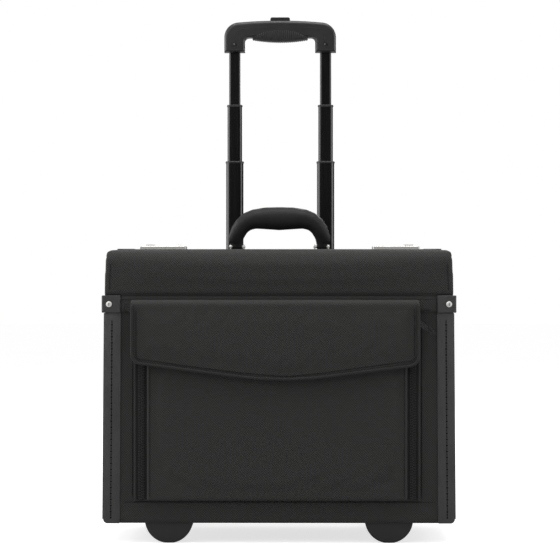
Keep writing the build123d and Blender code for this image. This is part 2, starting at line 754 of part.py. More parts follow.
def bracket(sign):
    with BuildPart() as piece:
        slab(sign * 45.0, sign * 73.0, HANDLE_Y - 11, HANDLE_Y + 11, CASE_TOP, CASE_TOP + 1.2)
        fillet(piece.edges().filter_by(Axis.Z), 3.0)
        for x0, x1 in ((48.6, 50.6), (67.4, 69.4)):
            slab(sign * x0, sign * x1, HANDLE_Y - 3.2, HANDLE_Y + 3.2, CASE_TOP + 1, HANDLE_PIVOT_Z)
            pin_x(sign * x0, sign * x1, HANDLE_Y, HANDLE_PIVOT_Z, 3.2)
        pin_x(sign * 47.8, sign * 70.2, HANDLE_Y, HANDLE_PIVOT_Z, HANDLE_PIN_D / 2)
    return piece.part


save(Compound(children=[bracket(-1), bracket(1)]), "handle_brackets")

# Each row: centre x, centre z, lean of the section in degrees, half height across the arch, half depth.
HANDLE_SECTIONS = (
    (59.0, 404.5, 0.0, 7.4, 3.5),
    (59.0, 408.0, 0.0, 7.4, 4.0),
    (61.4, 411.5, 0.0, 10.2, 5.4),
    (61.0, 417.0, 8.0, 10.9, 7.0),
    (58.0, 425.0, 38.0, 11.4, 9.2),
    (52.8, 433.4, 48.0, 11.8, 11.0),
    (45.0, 439.9, 66.0, 12.8, 12.0),
    (35.0, 443.4, 80.0, 13.8, 12.6),
    (20.0, 444.4, 87.0, 15.4, 13.0),
    (0.0, 444.0, 90.0, 16.3, 13.0),
)


def handle_section(x, z, lean, half, depth):
    """An ellipse across the arch; the lean turns its long axis up from the X direction."""
    turn = math.radians(lean)
    plane = Plane(
        origin=(x, HANDLE_Y, z),
        x_dir=(math.cos(turn), 0, math.sin(turn)),
        z_dir=(math.sin(turn), 0, -math.cos(turn)),
    )
    with BuildSketch(plane) as section:
        Ellipse(half, depth)
    return section.sketch


with BuildPart() as carry_handle:
    rows = [(-x, z, 180.0 - lean, half, depth) for x, z, lean, half, depth in HANDLE_SECTIONS[:-1]]
    rows += list(reversed(HANDLE_SECTIONS))
    loft([handle_section(*row) for row in rows], ruled=True)
    for sign in (-1, 1):
        pin_x(sign * 51.6, sign * 66.4, HANDLE_Y, HANDLE_PIVOT_Z, 3.5)
        pin_x(sign * 40.0, sign * 80.0, HANDLE_Y, HANDLE_PIVOT_Z, HANDLE_PIN_D / 2 + 0.05, Mode.SUBTRACT)
save(carry_handle.part, "carry_handle")

# Inside: steel rim, stiff floor and divider

with BuildPart() as rim_frame:
    slab(-231.3, 231.3, 92.5, 95.0, 378.0, 390.0)
    for sign in (-1, 1):
        slab(sign * 228.8, sign * 231.3, -108.0, 95.0, 378.0, 388.0)
        slab(sign * 228.8, sign * 231.3, -108.0, -96.0, 320.0, 388.0)
        slab(sign * 228.8, sign * 231.3, -109.0, -96.0, 318.0, 330.0)
    slab(-231.3, 231.3, -111.0, -108.0, 318.0, 332.0)
save(rim_frame.part, "rim_frame")

with BuildPart() as base_board:
    slab(-231.0, 231.0, FRONT_Y + WALL, BACK_Y - WALL, BASE_Z + WALL, BASE_Z + WALL + 4)
    for sign in (-1, 1):
        slab(sign * NOTCH_X0, sign * NOTCH_X1, NOTCH_Y, 110, 20, 60, Mode.SUBTRACT)
save(base_board.part, "base_board")

with BuildPart() as divider:
    slab(-231.0, 231.0, 20.0, 25.0, BASE_Z + WALL + 4, 330.0)
    fillet(divider.edges().filter_by(Axis.Y).group_by(Axis.Z)[-1], 20.0)
save(divider.part, "divider")
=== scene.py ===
"""Looks of the pilot flight case, laid out as an add-on and run as a script."""

import math

import bpy
import numpy as np
from bpy.props import FloatProperty, FloatVectorProperty, IntProperty, PointerProperty
from bpy.types import Operator, Panel, PropertyGroup
from mathutils import Matrix, Vector


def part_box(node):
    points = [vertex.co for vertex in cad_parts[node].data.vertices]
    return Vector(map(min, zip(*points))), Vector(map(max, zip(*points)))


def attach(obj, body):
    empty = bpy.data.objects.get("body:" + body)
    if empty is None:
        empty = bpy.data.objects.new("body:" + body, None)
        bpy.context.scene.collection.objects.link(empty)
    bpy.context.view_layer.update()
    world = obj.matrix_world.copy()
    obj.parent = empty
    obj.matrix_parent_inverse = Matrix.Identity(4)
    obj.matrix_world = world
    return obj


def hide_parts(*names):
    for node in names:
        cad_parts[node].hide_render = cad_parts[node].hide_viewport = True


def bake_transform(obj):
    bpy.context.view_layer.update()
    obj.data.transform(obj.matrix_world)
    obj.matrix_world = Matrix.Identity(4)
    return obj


bl_info = {
    "name": "Pilot flight case",
    "version": (1, 0, 0),
    "blender": (4, 5, 0),
    "location": "View3D > Sidebar > Flight case",
    "description": "Builds the cloth, leather, metal and plastic of a rolling pilot case around its frame",
    "category": "Object",
}

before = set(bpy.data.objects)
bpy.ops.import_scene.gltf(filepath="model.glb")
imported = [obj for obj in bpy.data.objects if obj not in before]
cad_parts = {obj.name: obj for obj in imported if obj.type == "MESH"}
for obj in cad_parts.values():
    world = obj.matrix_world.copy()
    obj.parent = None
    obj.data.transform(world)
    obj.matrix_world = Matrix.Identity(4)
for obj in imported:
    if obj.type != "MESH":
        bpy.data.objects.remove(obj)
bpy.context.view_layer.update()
PIECES = {}
CREASE_ANGLE = 40
TOP_RUN = 0.306


# Sizes and colours a user may change

def length(name, text, default):
    return FloatProperty(name=name, description=text, default=default, subtype="DISTANCE", unit="LENGTH")


def colour(name, text, default):
    return FloatVectorProperty(
        name=name, description=text, default=default, size=3, subtype="COLOR", min=0, max=1)


class CaseSizes(PropertyGroup):
    panel_mesh: length("Panel mesh", "Edge length of the cloth mesh on the large panels", 0.003)
    flap_mesh: length("Flap mesh", "Edge length of the cloth mesh on flap and pocket", 0.0022)
    panel_swell: length("Panel swell", "How far the padded panels may swell", 0.0022)
    flap_swell: length("Flap swell", "How far the pocket flap may swell", 0.0018)
    handle_swell: length("Handle swell", "How far the carry handle's padding may swell", 0.0012)
    stitch_pitch: length("Stitch pitch", "Distance from one stitch to the next", 0.0058)
    stitch_length: length("Stitch length", "Length of the visible thread of one stitch", 0.0040)
    thread: length("Thread", "Thread radius", 0.00052)
    tooth_pitch: length("Tooth pitch", "Distance from one zip tooth to the next", 0.0022)
    weave_threads: FloatProperty(
        name="Weave", description="Twill ribs per metre", default=300.0, min=100, max=3000)
    cloth_frames: IntProperty(
        name="Cloth frames", description="Steps of each cloth run", default=16, min=2, max=40)


class CaseColours(PropertyGroup):
    nylon: colour("Nylon", "Woven nylon of the panels", (0.0235, 0.0235, 0.0227))
    leather: colour("Trim leather", "Edge trims and tabs", (0.034, 0.034, 0.0337))
    handle: colour("Handle leather", "Carry handle", (0.015, 0.015, 0.015))
    lining: colour("Lining", "Lining cloth", (0.060, 0.061, 0.066))
    tube: colour("Tube", "Anodised trolley tubes", (0.0018, 0.0018, 0.0019))
    plastic: colour("Plastic", "Grip and bezel", (0.016, 0.016, 0.016))
    foot: colour("Foot", "Feet and wheel housings", (0.010, 0.010, 0.010))
    nickel: colour("Nickel", "Locks and brackets", (0.80, 0.79, 0.76))
    # black thread, kept darker than the cloth partly as painted shade of the stitch holes
    thread: colour("Thread", "Stitching", (0.004, 0.004, 0.004))


# Object helpers

def clear_selection():
    if bpy.context.mode != "OBJECT":
        bpy.ops.object.mode_set(mode="OBJECT")
    bpy.ops.object.select_all(action="DESELECT")


def activate(piece):
    clear_selection()
    piece.select_set(True)
    bpy.context.view_layer.objects.active = piece


def apply_modifiers(piece):
    activate(piece)
    for modifier in list(piece.modifiers):
        bpy.ops.object.modifier_apply(modifier=modifier.name)


def settle(piece):
    """Puts the piece's place into its mesh."""
    activate(piece)
    bpy.ops.object.transform_apply(location=True, rotation=True, scale=True)


def edit_all(piece, *steps):
    """Runs edit-mode steps, each an operator with its settings, on the whole mesh."""
    activate(piece)
    bpy.ops.object.mode_set(mode="EDIT")
    bpy.ops.mesh.select_all(action="SELECT")
    for step, settings in steps:
        step(**settings)
    bpy.ops.object.mode_set(mode="OBJECT")


def node_copy(node, name):
    """A merged copy of a CAD node's mesh."""
    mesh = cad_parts[node].data.copy()
    mesh.materials.clear()
    piece = bpy.data.objects.new(name, mesh)
    bpy.context.scene.collection.objects.link(piece)
    edit_all(piece, (bpy.ops.mesh.remove_doubles, {"threshold": 0.00001}),
             (bpy.ops.mesh.customdata_custom_splitnormals_clear, {}))
    return piece


def voxel_skin(piece, size, rounds):
    """An even mesh over the piece, its edges rounded off."""
    remesh = piece.modifiers.new("Skin", "REMESH")
    remesh.mode = "VOXEL"
    remesh.voxel_size = size
    remesh.use_smooth_shade = True
    smooth = piece.modifiers.new("Round", "SMOOTH")
    smooth.factor = 0.5
    smooth.iterations = rounds
    apply_modifiers(piece)


def swell(piece, cap, pressure, held, shrink=0.0):
    """A cloth run that pads the piece; held says which points stay put. The cap limits every move."""
    sizes = bpy.context.scene.case_sizes
    rest = np.array([v.co for v in piece.data.vertices])
    group = piece.vertex_groups.new(name="held")
    for vertex in piece.data.vertices:
        weight = held(vertex.co)
        if weight > 0:
            group.add([vertex.index], weight, "REPLACE")
    cloth = piece.modifiers.new("Cloth", "CLOTH")
    settings = cloth.settings
    settings.quality = 4
    settings.mass = 0.2
    settings.tension_stiffness = 25
    settings.compression_stiffness = 25
    settings.bending_stiffness = 12.0
    settings.use_pressure = True
    settings.uniform_pressure_force = pressure
    settings.shrink_min = shrink
    settings.effector_weights.gravity = 0
    settings.vertex_group_mass = "held"
    cloth.point_cache.frame_start = 1
    cloth.point_cache.frame_end = sizes.cloth_frames
    for step in range(1, sizes.cloth_frames + 1):
        bpy.context.scene.frame_set(step)
    apply_modifiers(piece)
    bpy.context.scene.frame_set(1)
    moved = np.array([v.co for v in piece.data.vertices]) - rest
    far = np.linalg.norm(moved, axis=1)
    scale = np.where(far > cap, cap / np.maximum(far, 1e-9), 1.0)
    piece.data.vertices.foreach_set("co", (rest + moved * scale[:, None]).ravel())
    piece.vertex_groups.clear()
    piece.data.update()


def flat_uv(piece):
    """A UV map in metres, each face laid on its own main plane."""
    mesh = piece.data
    layer = mesh.uv_layers.get("Weave") or mesh.uv_layers.new(name="Weave")
    count = len(mesh.loops)
    corner = np.empty(count, np.int64)
    mesh.loops.foreach_get("vertex_index", corner)
    place = np.empty(len(mesh.vertices) * 3)
    mesh.vertices.foreach_get("co", place)
    place = place.reshape(-1, 3)[corner]
    normals = np.empty(len(mesh.polygons) * 3)
    mesh.polygons.foreach_get("normal", normals)
    sides = np.empty(len(mesh.polygons), np.int64)
    mesh.polygons.foreach_get("loop_total", sides)
    main = np.repeat(np.argmax(np.abs(normals.reshape(-1, 3)), axis=1), sides)
    uv = np.where(main[:, None] == 0, place[:, 1:], np.where(main[:, None] == 1, place[:, ::2], place[:, :2]))
    layer.data.foreach_set("uv", uv.ravel())


def smooth_shade(piece, angle=None):
    activate(piece)
    if angle is None:
        bpy.ops.object.shade_smooth()
    else:
        bpy.ops.object.shade_smooth_by_angle(angle=math.radians(angle))


def dress(piece, finish, body, *nodes):
    """Gives a piece its UV map, finish and body, and hides the CAD nodes that it stands for."""
    if not piece.data.materials:
        piece.data.materials.append(finish_of(finish))
    flat_uv(piece)
    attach(piece, body)
    SLOT_OF.get(finish, finish)
    if nodes:
        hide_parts(*nodes)
    PIECES[piece.name] = piece
    return piece


def line_inside(piece, finish, inward):
    """Gives the faces that look inward a second finish."""
    piece.data.materials.append(finish_of(finish))
    inward = Vector(inward)
    for face in piece.data.polygons:
        if face.normal.dot(inward) > 0.6:
            face.material_index = 1


def soft_piece(node, name, finish, body, skin=None, edges=None, run=None, lining=None):
    """A soft piece that stands for one CAD node: its mesh, padding, finish, lining and body."""
    piece = node_copy(node, name)
    if skin:
        voxel_skin(piece, *skin)
    if edges:
        round_edges(piece, *edges)
    if run:
        swell(piece, *run)
    smooth_shade(piece, CREASE_ANGLE if edges else None)
    if lining:
        piece.data.materials.append(finish_of(finish))
        line_inside(piece, "lining", lining)
    dress(piece, finish, body, node)
    return piece


def repeat(name, template, places):
    """One mesh of many copies of a small template, removed afterwards."""
    mesh = template.data
    points = np.array([v.co for v in mesh.vertices])
    faces = [tuple(p.vertices) for p in mesh.polygons]
    vertices, polygons = [], []
    for place in places:
        matrix = np.array(place)
        start = len(vertices)
        vertices.extend((points @ matrix[:3, :3].T + matrix[:3, 3]).tolist())
        polygons.extend(tuple(start + i for i in face) for face in faces)
    made = bpy.data.meshes.new(name)
    made.from_pydata(vertices, [], polygons)
    piece = bpy.data.objects.new(name, made)
    bpy.context.scene.collection.objects.link(piece)
    bpy.data.objects.remove(template)
    smooth_shade(piece)
    return piece


def along(points, pitch, margin):
    """Even places and directions along a line of points."""
    line = [Vector(p) for p in points]
    spans = [(b - a).length for a, b in zip(line, line[1:])]
    total = sum(spans)
    count = max(1, int((total - 2 * margin) / pitch))
    start = (total - pitch * (count - 1)) / 2
    for k in range(count):
        distance = start + pitch * k
        for a, b, span in zip(line, line[1:], spans):
            if distance <= span or b is line[-1]:
                yield a + (b - a) * min(1.0, distance / span), (b - a).normalized()
                break
            distance -= span


def seam(name, points, normal, onto, body, finish="thread", pitch=None, hole_shade=0.0008):
    """A row of stitches laid on the surfaces it runs over, each with a flat dark disc at its needle hole as
    painted shade of the hole.
    """
    sizes = bpy.context.scene.case_sizes
    margin, lift, reach = 0.003, 0.0002, 0.012
    pitch = pitch or sizes.stitch_pitch
    half = sizes.stitch_length / sizes.stitch_pitch * pitch / 2
    parts = []
    # the thread, then a flat dark disc at the needle hole: painted shade of the hole
    for place, size in (((0, 0, 0), (half, sizes.thread * 1.25, sizes.thread)),
                        ((pitch / 2, 0, -0.0001), (hole_shade, hole_shade, 0.0003))):
        clear_selection()
        bpy.ops.mesh.primitive_uv_sphere_add(segments=8, ring_count=5, radius=1, location=place)
        parts.append(bpy.context.object)
        parts[-1].scale = size
        settle(parts[-1])
    stitch = join("stitch", parts)
    normal = Vector(normal)
    places = []
    for spot, run in along(points, pitch, margin):
        best = None
        for target in onto:
            hit, place, _, _ = target.ray_cast(spot + normal * reach, -normal, distance=2 * reach)
            if hit and (best is None or place.dot(normal) > best.dot(normal)):
                best = place
        spot = (best if best is not None else spot) + normal * lift
        side = normal.cross(run).normalized()
        places.append(Matrix((
            (run.x, side.x, normal.x, spot.x), (run.y, side.y, normal.y, spot.y),
            (run.z, side.z, normal.z, spot.z), (0, 0, 0, 1))))
    piece = repeat(name, stitch, places)
    return dress(piece, finish, body)


def block(name, low, high, bevel=0.0, segments=2):
    """A box started as a cube and finished with rounded edges."""
    clear_selection()
    low, high = Vector(low), Vector(high)
    bpy.ops.mesh.primitive_cube_add(size=1, location=(low + high) / 2)
    piece = bpy.context.object
    piece.name = name
    piece.scale = high - low
    settle(piece)
    if bevel:
        round_edges(piece, bevel, segments)
    return piece


def round_edges(piece, width, segments=2, angle=35):
    bevel = piece.modifiers.new("Edges", "BEVEL")
    bevel.width = width
    bevel.segments = segments
    bevel.limit_method = "ANGLE"
    bevel.angle_limit = math.radians(angle)
    apply_modifiers(piece)


def cord(name, points, radius, order=3):
    """A round bead along a smooth line, as a mesh."""
    clear_selection()
    line = bpy.data.curves.new(name, "CURVE")
    line.dimensions = "3D"
    spline = line.splines.new("NURBS")
    spline.points.add(len(points) - 1)
    for spot, point in zip(points, spline.points):
        point.co = (*spot, 1)
    spline.order_u = order
    spline.use_endpoint_u = True
    spline.resolution_u = 6
    line.bevel_depth = radius
    line.bevel_resolution = 2
    line.use_fill_caps = True
    piece = bpy.data.objects.new(name, line)
    bpy.context.scene.collection.objects.link(piece)
    activate(piece)
    bpy.ops.object.convert(target="MESH")
    piece = bpy.context.object
    smooth_shade(piece)
    return piece


def join(name, pieces):
    activate(pieces[0])
    for piece in pieces[1:]:
        piece.select_set(True)
    if len(pieces) > 1:
        bpy.ops.object.join()
    pieces[0].name = name
    return pieces[0]


def hinge_cloth(name, width, section):
    """A strip of cloth across a hinge; its section follows a line of y and z."""
    clear_selection()
    bpy.ops.mesh.primitive_grid_add(x_subdivisions=60, y_subdivisions=18, size=1)
    strip = bpy.context.object
    strip.name = name
    line = [Vector((0, y, z)) for y, z in section]
    spans = [(b - a).length for a, b in zip(line, line[1:])]
    for vertex in strip.data.vertices:
        distance = (vertex.co.y + 0.5) * sum(spans)
        for a, b, span in zip(line, line[1:], spans):
            if distance <= span or b is line[-1]:
                spot = a + (b - a) * min(1.0, distance / span)
                break
            distance -= span
        vertex.co = (vertex.co.x * width, spot.y, spot.z)
    skin = strip.modifiers.new("Cloth", "SOLIDIFY")
    skin.thickness = 0.0007
    skin.offset = 0
    apply_modifiers(strip)
    smooth_shade(strip, 50)
    strip.data.materials.append(finish_of("piping"))
    flat_uv(strip)
    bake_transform(strip)
    PIECES[name] = strip


# Shader groups

def new_group(name, inputs, outputs):
    tree = bpy.data.node_groups.new(name, "ShaderNodeTree")
    for label, kind, default in inputs:
        socket = tree.interface.new_socket(name=label, in_out="INPUT", socket_type=kind)
        if default is not None:
            socket.default_value = default
    for label, kind in outputs:
        tree.interface.new_socket(name=label, in_out="OUTPUT", socket_type=kind)
    return tree, tree.nodes.new("NodeGroupInput"), tree.nodes.new("NodeGroupOutput")


def put(tree, kind, **settings):
    made = tree.nodes.new(kind)
    for key, value in settings.items():
        setattr(made, key, value)
    return made


def math_node(tree, operation, a, b=None, c=None):
    made = put(tree, "ShaderNodeMath", operation=operation)
    for slot, value in zip(made.inputs, (a, b, c)):
        if value is None:
            continue
        if isinstance(value, (int, float)):
            slot.default_value = value
        else:
            tree.links.new(value, slot)
    return made.outputs[0]


def weighted(tree, *shares):
    """The sum of values, each times its share."""
    total = None
    for value, share in shares:
        part = math_node(tree, "MULTIPLY", value, share)
        total = part if total is None else math_node(tree, "ADD", total, part)
    return total


def noise_node(tree, vector, scale, detail=2.0, roughness=0.5):
    made = put(tree, "ShaderNodeTexNoise")
    made.inputs["Scale"].default_value = scale
    made.inputs["Detail"].default_value = detail
    made.inputs["Roughness"].default_value = roughness
    tree.links.new(vector, made.inputs["Vector"])
    return made.outputs["Fac"]


def ramp(tree, value, low, high, out_low, out_high):
    made = put(tree, "ShaderNodeMapRange")
    for label, number in (("From Min", low), ("From Max", high), ("To Min", out_low), ("To Max", out_high)):
        made.inputs[label].default_value = number
    tree.links.new(value, made.inputs["Value"])
    return made.outputs["Result"]


def weave_group():
    """Diagonal twill ribs with the cross threads showing between them; Shade is painted highlight on the rib
    tops and painted shade in the grooves, mixed with random slub tone.
    """
    tree, start, end = new_group(
        "Twill weave",
        (("Vector", "NodeSocketVector", None), ("Ribs", "NodeSocketFloat", 620.0)),
        (("Height", "NodeSocketFloat"), ("Shade", "NodeSocketFloat")))
    split = put(tree, "ShaderNodeSeparateXYZ")
    tree.links.new(start.outputs["Vector"], split.inputs[0])
    turns = math_node(tree, "MULTIPLY", start.outputs["Ribs"], 2 * math.pi)
    wobble = math_node(tree, "MULTIPLY", noise_node(tree, start.outputs["Vector"], 160.0, 2.0), 0.0012)
    diagonal = math_node(tree, "ADD", split.outputs[0], split.outputs[1])
    rib = math_node(tree, "ADD", diagonal, wobble)
    rib = math_node(tree, "SINE", math_node(tree, "MULTIPLY", rib, turns))
    cross = math_node(tree, "SUBTRACT", split.outputs[0], split.outputs[1])
    cross = math_node(tree, "SINE", math_node(tree, "MULTIPLY", cross, turns))
    height = math_node(tree, "ADD", weighted(tree, (rib, 0.30), (cross, 0.22)), 0.5)
    tree.links.new(height, end.inputs["Height"])
    slub = noise_node(tree, start.outputs["Vector"], 900.0, 2.0)
    # painted highlight on the rib tops and painted shade in the grooves, taken from the height, with random
    # slub tone mixed in
    tree.links.new(weighted(tree, (height, 0.7), (slub, 0.3)), end.inputs["Shade"])
    return tree


def grain_group():
    """Pebbled leather grain: cells with soft creases between them; Crease, as a tone mask, is painted shade
    in the creases and painted light on the cell tops.
    """
    tree, start, end = new_group(
        "Leather grain",
        (("Vector", "NodeSocketVector", None), ("Scale", "NodeSocketFloat", 700.0)),
        (("Height", "NodeSocketFloat"), ("Crease", "NodeSocketFloat")))
    warp = noise_node(tree, start.outputs["Vector"], 90.0, 2.0)
    mixed = put(tree, "ShaderNodeVectorMath", operation="ADD")
    tree.links.new(start.outputs["Vector"], mixed.inputs[0])
    spread = math_node(tree, "MULTIPLY", warp, 0.004)
    tree.links.new(spread, mixed.inputs[1])
    cells = put(tree, "ShaderNodeTexVoronoi", feature="DISTANCE_TO_EDGE")
    tree.links.new(mixed.outputs[0], cells.inputs["Vector"])
    tree.links.new(start.outputs["Scale"], cells.inputs["Scale"])
    crease = ramp(tree, cells.outputs["Distance"], 0.0, 0.22, 0.0, 1.0)
    fine = noise_node(tree, start.outputs["Vector"], 1800.0, 3.0)
    tree.links.new(weighted(tree, (crease, 0.8), (fine, 0.2)), end.inputs["Height"])
    tree.links.new(crease, end.inputs["Crease"])
    return tree


def wear_group():
    """Rubbed edges and faint handling marks, 0 for fresh and 1 for worn."""
    tree, start, end = new_group(
        "Edge wear",
        (("Vector", "NodeSocketVector", None), ("Amount", "NodeSocketFloat", 0.5)),
        (("Wear", "NodeSocketFloat"), ("Smudge", "NodeSocketFloat")))
    geometry = put(tree, "ShaderNodeNewGeometry")
    edge = ramp(tree, geometry.outputs["Pointiness"], 0.52, 0.60, 0.0, 1.0)
    patch = ramp(tree, noise_node(tree, start.outputs["Vector"], 55.0, 4.0, 0.6), 0.45, 0.7, 0.0, 1.0)
    wear = math_node(tree, "MULTIPLY", math_node(tree, "MULTIPLY", edge, patch), start.outputs["Amount"])
    tree.links.new(wear, end.inputs["Wear"])
    smudge = ramp(tree, noise_node(tree, start.outputs["Vector"], 14.0, 5.0, 0.6), 0.35, 0.75, 0.0, 1.0)
    tree.links.new(smudge, end.inputs["Smudge"])
    return tree


def group_in(tree, name, maker, vector, **values):
    group = bpy.data.node_groups.get(name) or maker()
    made = put(tree, "ShaderNodeGroup")
    made.node_tree = group
    tree.links.new(vector, made.inputs["Vector"])
    for label, value in values.items():
        made.inputs[label].default_value = value
    return made


# Finishes

def start_finish(name):
    material = bpy.data.materials.new(name)
    material.use_nodes = True
    tree = material.node_tree
    return material, tree, tree.nodes["Principled BSDF"]


def coordinates(tree, kind):
    if kind == "uv":
        made = put(tree, "ShaderNodeUVMap", uv_map="Weave")
        return made.outputs["UV"]
    return put(tree, "ShaderNodeTexCoord").outputs["Object"]


def stretched(tree, vector, scale):
    """The same coordinates, drawn out along an axis."""
    made = put(tree, "ShaderNodeMapping")
    made.inputs["Scale"].default_value = scale
    tree.links.new(vector, made.inputs["Vector"])
    return made.outputs["Vector"]


def shade_between(tree, factor, dark, light):
    """A colour between two shades, chosen by a mask."""
    made = put(tree, "ShaderNodeMix", data_type="RGBA")
    made.inputs["A"].default_value = (*dark, 1)
    made.inputs["B"].default_value = (*light, 1)
    tree.links.new(factor, made.inputs["Factor"])
    return made.outputs["Result"]


def bump(tree, shader, height, distance, strength=1.0):
    made = put(tree, "ShaderNodeBump")
    made.inputs["Distance"].default_value = distance
    made.inputs["Strength"].default_value = strength
    tree.links.new(height, made.inputs["Height"])
    tree.links.new(made.outputs["Normal"], shader.inputs["Normal"])


def scaled(shade, factor):
    return tuple(min(1.0, c * factor) for c in shade)


def fix(shader, **values):
    """Constants on the shader's own sockets, their names written with underscores."""
    for label, value in values.items():
        shader.inputs[label.replace("_", " ")].default_value = value


def paint(tree, shader, shade, tones, roughness):
    """Base colour between two tones of a shade by a mask, and roughness ramped from a value."""
    mask, dark, light = tones
    tone = shade_between(tree, mask, scaled(shade, dark), scaled(shade, light))
    tree.links.new(tone, shader.inputs["Base Color"])
    tree.links.new(ramp(tree, *roughness), shader.inputs["Roughness"])


def cloth_finish(name, shade, ribs=None, depth=0.0005, sheen=0.06, rough=0.8):
    material, tree, shader = start_finish(name)
    vector = coordinates(tree, "uv")
    ribs = ribs or bpy.context.scene.case_sizes.weave_threads
    weave = group_in(tree, "Twill weave", weave_group, vector, Ribs=ribs)
    cloudy = noise_node(tree, vector, 9.0, 4.0, 0.6)
    # the weave's Shade share is painted light and shade on the threads; the cloudy noise is random tone
    mask = weighted(tree, (weave.outputs["Shade"], 0.8), (cloudy, 0.2))
    paint(tree, shader, shade, (mask, 0.08, 2.3), (cloudy, 0.3, 0.7, rough - 0.06, rough + 0.06))
    fix(shader, Sheen_Weight=sheen, Sheen_Roughness=0.45, Specular_IOR_Level=0.22)
    bump(tree, shader, weave.outputs["Height"], depth)
    return material


def worn_finish(name, amount):
    """The start of a finish that shows wear, with its smudges and rubbed edges."""
    material, tree, shader = start_finish(name)
    vector = coordinates(tree, "object")
    worn = group_in(tree, "Edge wear", wear_group, vector, Amount=amount)
    return material, tree, shader, vector, worn.outputs["Smudge"], worn.outputs["Wear"]


def leather_finish(name, shade, scale=620.0, depth=0.0002, rough=0.42, amount=0.6, shine=0.5):
    material, tree, shader, vector, smudge, wear = worn_finish(name, amount)
    grain = group_in(tree, "Leather grain", grain_group, vector, Scale=scale)
    # the crease share is painted shade in the grain creases; smudge and wear are real marks
    mask = weighted(tree, (grain.outputs["Crease"], 0.45), (smudge, 0.3), (wear, 0.6))
    paint(tree, shader, shade, (mask, 0.6, 1.6), (smudge, 0.0, 1.0, rough - 0.05, rough + 0.08))
    fix(shader, Specular_IOR_Level=shine)
    bump(tree, shader, grain.outputs["Height"], depth)
    return material


def plastic_finish(name, shade, rough, depth=0.00006, scale=2200.0, amount=0.4):
    material, tree, shader, vector, smudge, wear = worn_finish(name, amount)
    mask = weighted(tree, (smudge, 0.35), (wear, 0.65))
    paint(tree, shader, shade, (mask, 0.85, 1.7), (smudge, 0.0, 1.0, rough - 0.05, rough + 0.07))
    bump(tree, shader, noise_node(tree, vector, scale, 3.0), depth)
    return material


def metal_finish(name, shade, rough=0.3, stretch=None, dull=0.6, metal=1.0):
    material, tree, shader, vector, smudge, _ = worn_finish(name, 0.5)
    lines = noise_node(tree, stretched(tree, vector, stretch) if stretch else vector, 600.0, 2.0)
    paint(tree, shader, shade, (smudge, 1.0, dull), (lines, 0.3, 0.7, rough - 0.05, rough + 0.08))
    fix(shader, Metallic=metal)
    bump(tree, shader, lines, 0.00001, 0.6)
    return material


def tube_finish(name, shade):
    """Black anodised aluminium: dark, satin, faintly drawn along its length."""
    material, tree, shader, vector, smudge, _ = worn_finish(name, 0.5)
    lines = noise_node(tree, stretched(tree, vector, (1.0, 1.0, 0.02)), 900.0, 3.0)
    paint(tree, shader, shade, (smudge, 1.0, 1.6), (lines, 0.3, 0.7, 0.24, 0.34))
    fix(shader, Metallic=0.1, Specular_IOR_Level=0.3, Coat_Weight=0.5, Coat_Roughness=0.16)
    bump(tree, shader, lines, 0.00001, 0.5)
    return material


def make_finish(name):
    """Each finish is its maker, its name, a colour with a factor on it, and what is special to it."""
    tint = bpy.context.scene.case_colours
    lacquer, hub = (0.11, 0.11, 0.11), (0.045, 0.045, 0.048)
    tyre, teeth = (0.014, 0.014, 0.014), (0.018, 0.018, 0.018)
    finishes = {
        "nylon": (cloth_finish, "Woven nylon", tint.nylon, 1, {}),
        "lining": (cloth_finish, "Lining cloth", tint.lining, 1,
                   {"ribs": 900.0, "depth": 0.00012, "sheen": 0.15}),
        "zip_tape": (cloth_finish, "Zip tape", tint.nylon, 0.6, {"ribs": 480.0, "depth": 0.0003}),
        "piping": (cloth_finish, "Binding tape", tint.nylon, 0.8, {"ribs": 420.0}),
        "thread": (cloth_finish, "Sewing thread", tint.thread, 1,
                   {"ribs": 1500.0, "depth": 0.0001, "sheen": 0.1}),
        # trim thread darkened further: black thread, partly painted shade of the stitch holes
        "seam_thread": (cloth_finish, "Trim thread", tint.thread, 0.4,
                        {"ribs": 1500.0, "sheen": 0.0, "rough": 0.9}),
        "leather_trim": (leather_finish, "Trim leather", tint.leather, 1, {}),
        "handle_leather": (leather_finish, "Handle leather", tint.handle, 1,
                           {"scale": 480.0, "depth": 0.00012, "rough": 0.46, "shine": 0.2}),
        "nickel": (metal_finish, "Satin nickel", tint.nickel, 1, {"metal": 0.4, "dull": 0.85}),
        "dial_brass": (metal_finish, "Dial nickel", tint.nickel, 0.75, {"stretch": (6.0, 1.0, 1.0)}),
        "steel": (metal_finish, "Brushed steel", tint.nickel, 0.8,
                  {"rough": 0.34, "stretch": (0.05, 1.0, 1.0)}),
        "zip_metal": (metal_finish, "Lacquered zip metal", lacquer, 1, {"rough": 0.26}),
        "zip_teeth": (plastic_finish, "Zip teeth", teeth, 1, {"rough": 0.34}),
        "tube_black": (tube_finish, "Anodised tube", tint.tube, 1, {}),
        "collar_plastic": (plastic_finish, "Collar plastic", tint.plastic, 0.7, {"rough": 0.45}),
        "grip_plastic": (plastic_finish, "Grip plastic", tint.plastic, 1.15, {"rough": 0.34}),
        "grip_rubber": (plastic_finish, "Grip rubber", tint.plastic, 0.55, {"rough": 0.62, "depth": 0.0001}),
        "foot_plastic": (plastic_finish, "Foot plastic", tint.foot, 1,
                         {"rough": 0.55, "depth": 0.0001, "scale": 1500.0, "amount": 0.9}),
        "hub_plastic": (plastic_finish, "Hub plastic", hub, 1, {"rough": 0.42}),
        "tyre_rubber": (plastic_finish, "Tyre rubber", tyre, 1,
                        {"rough": 0.7, "depth": 0.00012, "scale": 900.0, "amount": 0.9}),
    }
    maker, label, shade, factor, special = finishes[name]
    return maker(label, scaled(shade, factor), **special)


FINISHES = {}
SLOT_OF = {"thread": "nylon", "piping": "nylon", "seam_thread": "leather_trim"}


def finish_of(name):
    if name not in FINISHES:
        FINISHES[name] = make_finish(name)
    return FINISHES[name]


